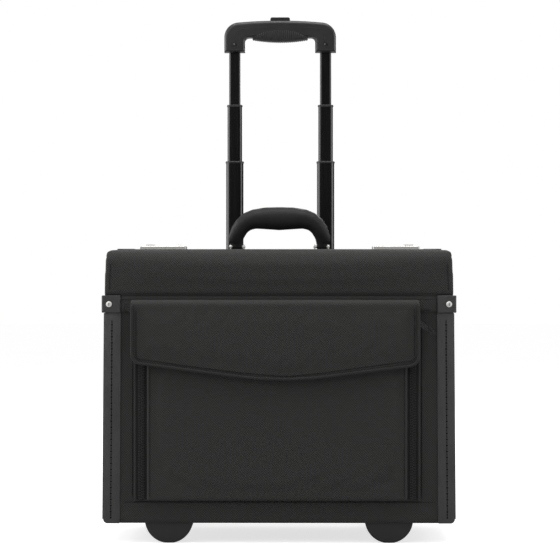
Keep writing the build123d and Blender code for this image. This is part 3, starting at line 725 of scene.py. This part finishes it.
def finish_nodes(finish, *nodes):
    """A finish for CAD nodes whose shape is right."""
    for node in nodes:
        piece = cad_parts[node]
        piece.data.materials.clear()
        piece.data.materials.append(finish_of(finish))


def edge_hold(low, high, axes, band):
    """A pin rule: points near the outline are held, fading inwards over the band."""
    def held(place):
        gap = min(min(place[a] - low[a], high[a] - place[a]) for a in axes)
        return max(0.0, min(1.0, 1.0 - gap / band))
    return held


# Operators, one for each piece or group of like pieces

class CASE_OT_panels(Operator):
    """Builds the padded walls of the case"""
    bl_idname = "flight_case.panels"
    bl_label = "Case panels"

    def execute(self, context):
        sizes = context.scene.case_sizes
        walls = (
            ("front_panel", "front_cloth", (0, 2), (0, 1, 0)),
            ("back_panel", "back_cloth", (0, 2), (0, -1, 0)),
            ("side_panel_l", "side_cloth_left", (1, 2), (1, 0, 0)),
            ("side_panel_r", "side_cloth_right", (1, 2), (-1, 0, 0)),
            ("bottom_panel", "bottom_cloth", (0, 1), (0, 0, 1)),
        )
        for node, name, axes, inward in walls:
            run = None
            if node.startswith("side"):
                run = (sizes.panel_swell, 3.0, edge_hold(*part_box(node), axes, 0.03))
            soft_piece(node, name, "nylon", "case", skin=(sizes.panel_mesh, 3), run=run, lining=inward)
        return {"FINISHED"}


class CASE_OT_trims(Operator):
    """Builds the leather edge trims, tabs, hinge band and rivets"""
    bl_idname = "flight_case.trims"
    bl_label = "Edge trims"

    def execute(self, context):
        soft_piece("corner_trims", "edge_trims", "leather_trim", "case", edges=(0.0005, 3))
        soft_piece("hinge_tabs", "hinge_tab_leather", "leather_trim", "case", skin=(0.0007, 3))
        low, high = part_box("hinge_band")
        band = block("hinge_band_cloth", low, high, 0.0005, 3)
        smooth_shade(band, 40)
        dress(band, "nylon", "case", "hinge_band")
        low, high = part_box("tab_rivets")
        middle = (low.z + high.z) / 2
        cap_radius, cap_rise = 0.004, 0.38
        slot_half, slot_reach = 0.0004, 0.0024
        rivets, slot_shades = [], []
        for x in (low.x + cap_radius, high.x - cap_radius):
            clear_selection()
            bpy.ops.mesh.primitive_uv_sphere_add(segments=32, ring_count=16, radius=cap_radius)
            cap = context.object
            cap.scale = (1, cap_rise, 1)
            cap.location = (x, high.y, middle)
            settle(cap)
            cut = {"plane_co": (0, high.y, 0), "plane_no": (0, 1, 0), "use_fill": True, "clear_outer": True}
            edit_all(cap, (bpy.ops.mesh.bisect, cut))
            rivets.append(cap)
            # a dark bar through each cap gives the slot's shape; its dark colour is painted shade of the
            # slot's recess
            slot_shades.append(block("slot", (x - slot_half, high.y - 0.0017, middle - slot_reach),
                               (x + slot_half, high.y - 0.0008, middle + slot_reach)))
        cap = join("rivet_caps", rivets)
        smooth_shade(cap, 45)
        dress(cap, "nickel", "case", "tab_rivets")
        slot = join("rivet_slots_painted_shade", slot_shades)
        dress(slot, "zip_metal", "case")
        return {"FINISHED"}


class CASE_OT_pocket(Operator):
    """Builds the front pocket's ring and its padded panel"""
    bl_idname = "flight_case.pocket"
    bl_label = "Front pocket"

    def execute(self, context):
        sizes = context.scene.case_sizes
        soft_piece("pocket_gusset", "pocket_ring_cloth", "nylon", "case", edges=(0.0008, 3))
        low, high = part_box("pocket_panel")
        panel = soft_piece("pocket_panel", "pocket_cloth", "nylon", "case", skin=(sizes.flap_mesh, 4),
                           run=(0.0016, 2.5, edge_hold(low, high, (0, 2), 0.02), -0.002))
        inset = 0.0048
        for x, tag in ((low.x + inset, "left"), (high.x - inset, "right")):
            seam(f"pocket_stitches_{tag}", [(x, low.y, high.z - 0.006), (x, low.y, low.z + 0.003)],
                 (0, -1, 0), [panel], "case")
        return {"FINISHED"}


class CASE_OT_zips(Operator):
    """Builds the zip tapes, their teeth, and finishes the sliders and pulls"""
    bl_idname = "flight_case.zips"
    bl_label = "Zips"

    def execute(self, context):
        sizes = context.scene.case_sizes
        tape_low, tape_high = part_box("zip_tape")
        teeth_low, teeth_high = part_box("zip_teeth")
        half_tape, half_teeth = 0.007, 0.004
        runs = ((tape_low.x + half_tape), (tape_high.x - half_tape))
        tapes = []
        for k, x in enumerate(runs):
            tapes.append(block(f"tape_{k}", (x - half_tape, tape_low.y, tape_low.z),
                               (x + half_tape, tape_high.y, tape_high.z), 0.0003))
        corner = 0.012
        tapes.append(block("tape_top", (runs[0] + corner, tape_low.y, TOP_RUN - half_tape),
                           (runs[1] - corner, tape_high.y, TOP_RUN + half_tape), 0.0003))
        tape = join("zip_tapes", tapes)
        smooth_shade(tape, 40)
        dress(tape, "zip_tape", "case", "zip_tape")
        clear_selection()
        bpy.ops.mesh.primitive_cube_add(size=1)
        tooth = context.object
        tooth.scale = (half_teeth * 1.05, (teeth_high.y - teeth_low.y) * 0.9, sizes.tooth_pitch * 0.42)
        settle(tooth)
        edit_all(tooth, (bpy.ops.mesh.bevel, {"offset": 0.00028, "segments": 2}))
        depth = (teeth_low.y + teeth_high.y) / 2
        places = []
        count = int((teeth_high.z - teeth_low.z) / sizes.tooth_pitch)
        sag = 0.0004
        for x in runs:
            for k in range(count):
                z = teeth_low.z + sizes.tooth_pitch * (k + 0.5) - sag
                for side, shift in ((-1, 0), (1, sizes.tooth_pitch / 2)):
                    places.append(Matrix.Translation((x + side * half_teeth * 0.48, depth, z + shift)))
        teeth = repeat("zip_teeth_rows", tooth, places)
        smooth_shade(teeth, 40)
        dress(teeth, "zip_teeth", "case", "zip_teeth")
        finish_nodes("zip_metal", "zip_slider_l", "zip_slider_r", "zip_pull_l", "zip_pull_r")
        return {"FINISHED"}


class CASE_OT_flap(Operator):
    """Builds the pocket flap with its bound edge"""
    bl_idname = "flight_case.flap"
    bl_label = "Pocket flap"

    def execute(self, context):
        sizes = context.scene.case_sizes
        low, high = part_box("pocket_flap")
        corner, point, middle, half = 0.2448, 0.218, 0.0048, 0.206
        band = 0.02

        def held(place):
            drop = corner - (corner - point) * (1 - abs(place.x - middle) / half)
            gap = min(place.x - low.x, high.x - place.x, place.z - drop, high.z - place.z)
            return max(0.0, min(1.0, 1.0 - gap / band))

        flap = soft_piece("pocket_flap", "flap_cloth", "nylon", "flap", skin=(sizes.flap_mesh, 4),
                          run=(sizes.flap_swell, 2.5, held, -0.002))
        soft_piece("flap_piping", "flap_binding", "piping", "flap", skin=(0.0011, 4))
        side, turn, top = 0.008, 0.012, 0.322
        edge = ((low.x + side, top), (low.x + side, 0.2545), (low.x + turn, 0.2515), (-0.13, 0.2425),
                (-0.05, 0.2325), (0.0, 0.2283), (0.02, 0.2283), (0.06, 0.2325), (0.12, 0.2408),
                (high.x - turn, 0.2487), (high.x - side, 0.252), (high.x - side, top))
        line = [(x, low.y, z) for x, z in edge]
        seam("flap_stitches", line, (0, -1, 0), [flap], "flap")
        return {"FINISHED"}


class CASE_OT_wing(Operator):
    """Builds the front wing's padded shell"""
    bl_idname = "flight_case.wing"
    bl_label = "Front wing"

    def execute(self, context):
        sizes = context.scene.case_sizes
        low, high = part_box("wing_shell")
        band, skin = 0.02, 0.004
        wing = node_copy("wing_shell", "wing_cloth")
        voxel_skin(wing, sizes.panel_mesh, 3)

        def held(place):
            side = min(place.x - low.x, high.x - place.x)
            ends = min(place.z - low.z, high.y - place.y)
            return max(0.0, min(1.0, 1.0 - min(side, ends) / band))

        swell(wing, 0.0014, 2.0, held)
        smooth_shade(wing)
        wing.data.materials.append(finish_of("nylon"))
        wing.data.materials.append(finish_of("lining"))
        for face in wing.data.polygons:
            inside = face.center.y > low.y + skin and face.center.z < high.z - skin
            if inside and (face.normal.y > 0.4 or face.normal.z < -0.4):
                face.material_index = 1
        dress(wing, "nylon", "front_wing", "wing_shell")
        for sign, tag in ((-1, "left"), (1, "right")):
            x_low, x_high = sign * (high.x - 0.0065), sign * (high.x - 0.0085)
            seam(f"wing_stitches_{tag}", [(x_low, low.y, low.z + 0.004), (x_high, low.y, high.z - 0.016)],
                 (0, -1, 0), [wing], "front_wing")
            top_x = sign * (high.x - 0.016)
            seam(f"wing_top_stitches_{tag}", [(top_x, low.y + 0.02, high.z), (top_x, high.y - 0.004, high.z)],
                 (0, 0, 1), [wing], "front_wing")
        soft_piece("leather_patches", "leather_patch_set", "leather_trim", "front_wing", edges=(0.0004, 2))
        return {"FINISHED"}


class CASE_OT_hinges(Operator):
    """Builds the cloth strips that join the wing and the rear flap to their walls"""
    bl_idname = "flight_case.hinges"
    bl_label = "Cloth hinges"

    def execute(self, context):
        low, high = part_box("hinge_band")
        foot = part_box("wing_shell")[0].z
        sewn_in, face = 0.0014, -0.1163
        base = high.z - sewn_in
        tall = foot + 0.0032 - base
        bulges = ((0.0, 0.0), (0.15, 0.0004), (0.3, 0.0006), (0.5, 0.0001), (0.62, -0.0005), (0.72, -0.0008),
                  (0.82, -0.0005), (0.92, 0.0), (1.0, 0.0))
        section = [(face - out, base + tall * up) for up, out in bulges]
        hinge_cloth("wing_hinge_cloth", high.x - low.x, section)
        low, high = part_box("rear_flap")
        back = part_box("back_panel")[1].y + 0.0005
        top = high.z + 0.0005
        section = [(back, top - 0.0160), (back, top - 0.0045), (back - 0.0004, top - 0.0025),
                   (back - 0.0013, top - 0.0010), (back - 0.0028, top - 0.0002), (back - 0.0045, top),
                   (high.y - 0.0055, top)]
        hinge_cloth("rear_hinge_cloth", 2 * high.x - 0.018, section)
        return {"FINISHED"}


class CASE_OT_rear(Operator):
    """Builds the rear flap and finishes its strikes"""
    bl_idname = "flight_case.rear"
    bl_label = "Rear flap"

    def execute(self, context):
        sizes = context.scene.case_sizes
        low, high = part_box("rear_flap")
        rear = soft_piece("rear_flap", "rear_cloth", "nylon", "rear_lid", skin=(sizes.panel_mesh, 3),
                          run=(0.0015, 2.0, edge_hold(low, high, (0, 1), 0.025)), lining=(0, 0, -1))
        rim = 0.008
        seam("rear_stitches", [(low.x + rim, low.y + 0.01, high.z), (low.x + rim, high.y - rim, high.z),
                               (high.x - rim, high.y - rim, high.z), (high.x - rim, low.y + 0.01, high.z)],
             (0, 0, 1), [rear], "rear_lid")
        finish_nodes("nickel", "lock_strikes")
        return {"FINISHED"}


class CASE_OT_carry(Operator):
    """Builds the padded carry handle and finishes its brackets"""
    bl_idname = "flight_case.carry"
    bl_label = "Carry handle"

    def execute(self, context):
        sizes = context.scene.case_sizes
        leg_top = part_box("carry_handle")[0].z + 0.02
        soft_piece("carry_handle", "carry_padding", "handle_leather", "carry", skin=(0.0015, 3),
                   run=(sizes.handle_swell, 3.0, lambda place: 1.0 if place.z < leg_top else 0.0))
        finish_nodes("nickel", "handle_brackets")
        return {"FINISHED"}


class CASE_OT_locks(Operator):
    """Finishes the combination locks with their dials, slides and hasps"""
    bl_idname = "flight_case.locks"
    bl_label = "Combination locks"

    def execute(self, context):
        for side in "lr":
            finish_nodes("nickel", f"lock_body_{side}", f"thumb_slide_{side}", f"hasp_{side}")
        finish_nodes("dial_brass", *[f"dial_{side}{k}" for side in "lr" for k in (1, 2, 3)])
        return {"FINISHED"}


class CASE_OT_rolling(Operator):
    """Finishes the feet, wheel housings, axles and wheels"""
    bl_idname = "flight_case.rolling"
    bl_label = "Feet and wheels"

    def execute(self, context):
        finish_nodes("foot_plastic", "feet", "wheel_housings")
        finish_nodes("steel", "axle_pins")
        finish_nodes("hub_plastic", "wheel_hub_l", "wheel_hub_r")
        finish_nodes("tyre_rubber", "wheel_tyre_l", "wheel_tyre_r")
        return {"FINISHED"}


class CASE_OT_trolley(Operator):
    """Builds the cloth tube cover and finishes the telescopic handle"""
    bl_idname = "flight_case.trolley"
    bl_label = "Trolley handle"

    def execute(self, context):
        soft_piece("back_cover", "tube_cover_cloth", "nylon", "case", skin=(0.0024, 2))
        finish_nodes("tube_black", "outer_tubes", "stage1_tubes", "stage2_tubes", "stage3_tubes")
        finish_nodes("collar_plastic", "stage1_collars", "stage2_collars")
        finish_nodes("foot_plastic", "trolley_bezel")
        finish_nodes("grip_plastic", "grip_shell", "release_button")
        finish_nodes("steel", "push_rods")
        return {"FINISHED"}


class CASE_OT_grip(Operator):
    """Builds the grip's ribbed rubber pad, its moulding seam and its screws"""
    bl_idname = "flight_case.grip"
    bl_label = "Trolley grip"

    def execute(self, context):
        low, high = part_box("grip_shell")
        pad_low, pad_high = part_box("grip_insert")
        half = pad_high.x
        pitch, count = 0.003, 13
        full, rise, bow_top, bow_foot = 0.0158, 0.0155, 0.0108, 0.0036
        wall, floor = 0.003, 0.004
        ribs = []
        for name, width, proud, edge in (("pad", 0.0031, 0.0003, 0.0), ("ribs", 0.0019, 0.0009, 0.0005)):
            tall = full + proud
            front, rear, base = low.y - proud, high.y + proud, -tall / 2
            side = width / 2
            rib = join(name, [
                block(name, (-side, front, base), (side, low.y + wall, -base), edge),
                block(name, (-side, high.y - wall, base), (side, rear, -base), edge),
                block(name, (-side, front + 0.001, base), (side, rear - 0.001, base + floor), edge)])
            places = []
            inset = 0.0 if edge else 0.0006
            for k in range(-count, count + 1):
                x = pitch * k
                bow = (x / half) ** 2
                top = pad_low.z + rise - bow_top * bow
                foot = pad_low.z + bow_foot * bow + inset
                squeeze = max(0.12, (top - foot) / full)
                place = Matrix.Translation((x, 0, (top + foot) / 2))
                places.append(place @ Matrix.Diagonal((1, 1, squeeze, 1)))
            ribs.append(repeat(name + "_row", rib, places))
        pad = join("grip_ribs", ribs)
        smooth_shade(pad, 40)
        dress(pad, "grip_rubber", "stage_3", "grip_insert")
        seams = []
        right = [(0.03, 0.7284), (0.052, 0.7272), (0.061, 0.7235), (0.0645, 0.717), (0.065, 0.7105)]
        line = [(-x, z) for x, z in reversed(right)] + [(0.0, 0.7288)] + right
        for tag, y in (("front", low.y), ("back", high.y)):
            seams.append(cord(f"seam_{tag}", [(x, y, z) for x, z in line], 0.00028))
        seam_line = join("grip_seam", seams)
        dress(seam_line, "grip_rubber", "stage_3")
        screws = []
        screw_x, screw_z, arm, blade = 0.0668, 0.703, 0.0016, 0.00032
        for sign in (-1, 1):
            clear_selection()
            bpy.ops.mesh.primitive_cylinder_add(
                vertices=32, radius=0.0026, depth=0.0016, location=(sign * screw_x, low.y + 0.0019, screw_z),
                rotation=(math.radians(90), 0, 0))
            head = context.object
            settle(head)
            round_edges(head, 0.0004, 2)
            screws.append(head)
            for turn in (45, -45):
                slot = block("slot", (-arm, low.y + 0.0009, -blade), (arm, low.y + 0.0013, blade), 0.0001)
                slot.rotation_euler = (0, math.radians(turn), 0)
                slot.location = (sign * screw_x, 0, screw_z)
                settle(slot)
                screws.append(slot)
        screw = join("grip_screws", screws)
        smooth_shade(screw, 40)
        dress(screw, "zip_metal", "stage_3")
        return {"FINISHED"}


class CASE_OT_inside(Operator):
    """Builds the lined floor and divider and finishes the rim frame"""
    bl_idname = "flight_case.inside"
    bl_label = "Inside"

    def execute(self, context):
        soft_piece("base_board", "floor_lining", "lining", "case", edges=(0.0008, 2))
        soft_piece("divider", "divider_lining", "lining", "case", skin=(0.0026, 3))
        finish_nodes("steel", "rim_frame")
        return {"FINISHED"}


class CASE_OT_stitching(Operator):
    """Sews the case: trims, hinge band and the cloth beside the zips and under the pocket"""
    bl_idname = "flight_case.stitching"
    bl_label = "Stitching"

    def execute(self, context):
        trims = PIECES["edge_trims"]
        low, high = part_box("corner_trims")
        lean, row, edge, sunk = 0.0018, 0.0115, 0.0232, 0.0003
        # larger dark hole discs on the trims: painted shade of the needle holes in the leather
        sewn = {"finish": "seam_thread", "pitch": 0.0082, "hole_shade": 0.0014}
        beads = []
        for sign, tag in ((-1, "left"), (1, "right")):
            for face, y, out in (("front", low.y, -1), ("back", high.y, 1)):
                line = [(sign * (high.x - row - lean), y, high.z - 0.004),
                        (sign * (high.x - row), y, low.z + 0.004)]
                seam(f"trim_stitches_{face}_{tag}", line, (0, out, 0), [trims], "case", **sewn)
                bead_y = y - sunk * out
                line = [(sign * (high.x - edge - lean), bead_y, high.z - 0.001),
                        (sign * (high.x - edge), bead_y, low.z + 0.0015)]
                beads.append(cord(f"bead_{face}_{tag}", line, 0.0006, order=2))
            side_y = low.y + 0.0117
            line = [(sign * high.x, side_y, high.z - 0.004), (sign * high.x, side_y, low.z + 0.012)]
            seam(f"trim_side_stitches_{tag}", line, (sign, 0, 0), [trims], "case", **sewn)
        dress(join("trim_beads", beads), "leather_trim", "case")
        front = (0, -1, 0)
        low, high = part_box("hinge_band")
        seam("band_stitches", [(low.x + 0.004, low.y, low.z + 0.002), (high.x - 0.004, low.y, low.z + 0.002)],
             front, [PIECES["hinge_band_cloth"]], "case")
        low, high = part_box("pocket_gusset")
        ring, panel = PIECES["pocket_ring_cloth"], PIECES["front_cloth"]
        outside = 0.0022
        for x, name in ((low.x - outside, "zip_stitches_left"), (high.x + outside, "zip_stitches_right")):
            seam(name, [(x, low.y, TOP_RUN), (x, low.y, low.z + 0.003)], front, [ring, panel], "case")
        hem, hem_half = low.z - outside, 0.216
        seam("hem_stitches", [(-hem_half, -0.116, hem), (hem_half, -0.116, hem)], front, [panel], "case")
        return {"FINISHED"}


class CASE_OT_stage(Operator):
    """Sets up the pale floor, the soft lights and the camera"""
    bl_idname = "flight_case.stage"
    bl_label = "Stage"

    def execute(self, context):
        scene = context.scene
        clear_selection()
        bpy.ops.mesh.primitive_circle_add(vertices=96, radius=14, fill_type="NGON", location=(0, 0, -0.0003))
        floor = context.object
        floor.name = "floor"
        settle(floor)
        material, tree, shader = start_finish("Pale floor")
        cloud = noise_node(tree, coordinates(tree, "object"), 3.0, 3.0)
        tree.links.new(shade_between(tree, cloud, (0.50, 0.50, 0.50), (0.54, 0.54, 0.54)),
                       shader.inputs["Base Color"])
        shader.inputs["Roughness"].default_value = 0.9
        shader.inputs["Specular IOR Level"].default_value = 0.1
        rays = put(tree, "ShaderNodeLightPath")
        glow = math_node(tree, "MULTIPLY", rays.outputs["Is Camera Ray"], 0.72)
        shader.inputs["Emission Color"].default_value = (1, 1, 1, 1)
        tree.links.new(glow, shader.inputs["Emission Strength"])
        floor.data.materials.append(material)
        self.make_sky(scene)
        lamps = (
            ("left box", (-1.75, 0.05, 0.80), (2.2, 1.4), 34.0),
            ("right box", (1.75, -0.25, 0.80), (1.2, 1.4), 17.0),
            ("top box", (0.0, -0.4, 2.1), (1.6, 1.0), 22.0),
            ("front fill", (-0.9, -2.6, 1.9), (0.9, 0.9), 12.0),
            ("rear box", (0.5, 2.3, 1.5), (1.4, 1.4), 20.0),
        )
        aim = Vector((0, 0, 0.38))
        for name, place, size, power in lamps:
            light = bpy.data.lights.new(name, "AREA")
            light.shape = "RECTANGLE"
            light.size, light.size_y = size
            light.energy = power
            lamp = bpy.data.objects.new(name, light)
            scene.collection.objects.link(lamp)
            lamp.location = place
            lamp.rotation_euler = (aim - Vector(place)).to_track_quat("-Z", "Y").to_euler()
            lamp.visible_camera = False
        camera_data = bpy.data.cameras.new("camera")
        camera_data.lens = 132.4
        camera_data.sensor_width = 36
        camera_data.clip_end = 60
        camera = bpy.data.objects.new("camera", camera_data)
        scene.collection.objects.link(camera)
        camera.location = (0.0230, -2.917, 0.358)
        camera.rotation_euler = (math.radians(90), 0, math.radians(0.44))
        scene.camera = camera
        scene.view_settings.view_transform = "Standard"
        return {"FINISHED"}

    def make_sky(self, scene):
        """A white backdrop for the eye, dim near the horizon and bright overhead as a light."""
        world = bpy.data.worlds.new("Studio")
        scene.world = world
        world.use_nodes = True
        tree = world.node_tree
        sky = tree.nodes["Background"]
        direction = put(tree, "ShaderNodeTexCoord")
        split = put(tree, "ShaderNodeSeparateXYZ")
        tree.links.new(direction.outputs["Generated"], split.inputs[0])
        tree.links.new(ramp(tree, split.outputs["Z"], 0.15, 0.9, 0.04, 0.75), sky.inputs["Strength"])
        sky.inputs["Color"].default_value = (1, 1, 1, 1)
        white = put(tree, "ShaderNodeBackground")
        white.inputs["Color"].default_value = (1, 1, 1, 1)
        rays = put(tree, "ShaderNodeLightPath")
        mixed = put(tree, "ShaderNodeMixShader")
        tree.links.new(rays.outputs["Is Camera Ray"], mixed.inputs[0])
        tree.links.new(sky.outputs[0], mixed.inputs[1])
        tree.links.new(white.outputs[0], mixed.inputs[2])
        tree.links.new(mixed.outputs[0], tree.nodes["World Output"].inputs["Surface"])


class CASE_PT_sidebar(Panel):
    """Lists the steps that build the case"""
    bl_idname = "CASE_PT_sidebar"
    bl_label = "Flight case"
    bl_space_type = "VIEW_3D"
    bl_region_type = "UI"
    bl_category = "Flight case"

    def draw(self, context):
        for name in CaseSizes.__annotations__:
            self.layout.prop(context.scene.case_sizes, name)
        for name in CaseColours.__annotations__:
            self.layout.prop(context.scene.case_colours, name)
        for step in STEPS:
            self.layout.operator(step.bl_idname)


STEPS = (
    CASE_OT_stage, CASE_OT_panels, CASE_OT_trims, CASE_OT_pocket, CASE_OT_zips, CASE_OT_flap, CASE_OT_wing,
    CASE_OT_rear, CASE_OT_hinges, CASE_OT_carry, CASE_OT_locks, CASE_OT_rolling, CASE_OT_trolley,
    CASE_OT_grip, CASE_OT_inside, CASE_OT_stitching,
)
CLASSES = (CaseSizes, CaseColours, *STEPS, CASE_PT_sidebar)


def register():
    for item in CLASSES:
        bpy.utils.register_class(item)
    bpy.types.Scene.case_sizes = PointerProperty(type=CaseSizes)
    bpy.types.Scene.case_colours = PointerProperty(type=CaseColours)


def unregister():
    del bpy.types.Scene.case_colours
    del bpy.types.Scene.case_sizes
    for item in reversed(CLASSES):
        bpy.utils.unregister_class(item)


def main():
    register()
    for step in STEPS:
        group, name = step.bl_idname.split(".")
        getattr(getattr(bpy.ops, group), name)()
    clear_selection()
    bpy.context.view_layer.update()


if __name__ == "__main__":
    main()
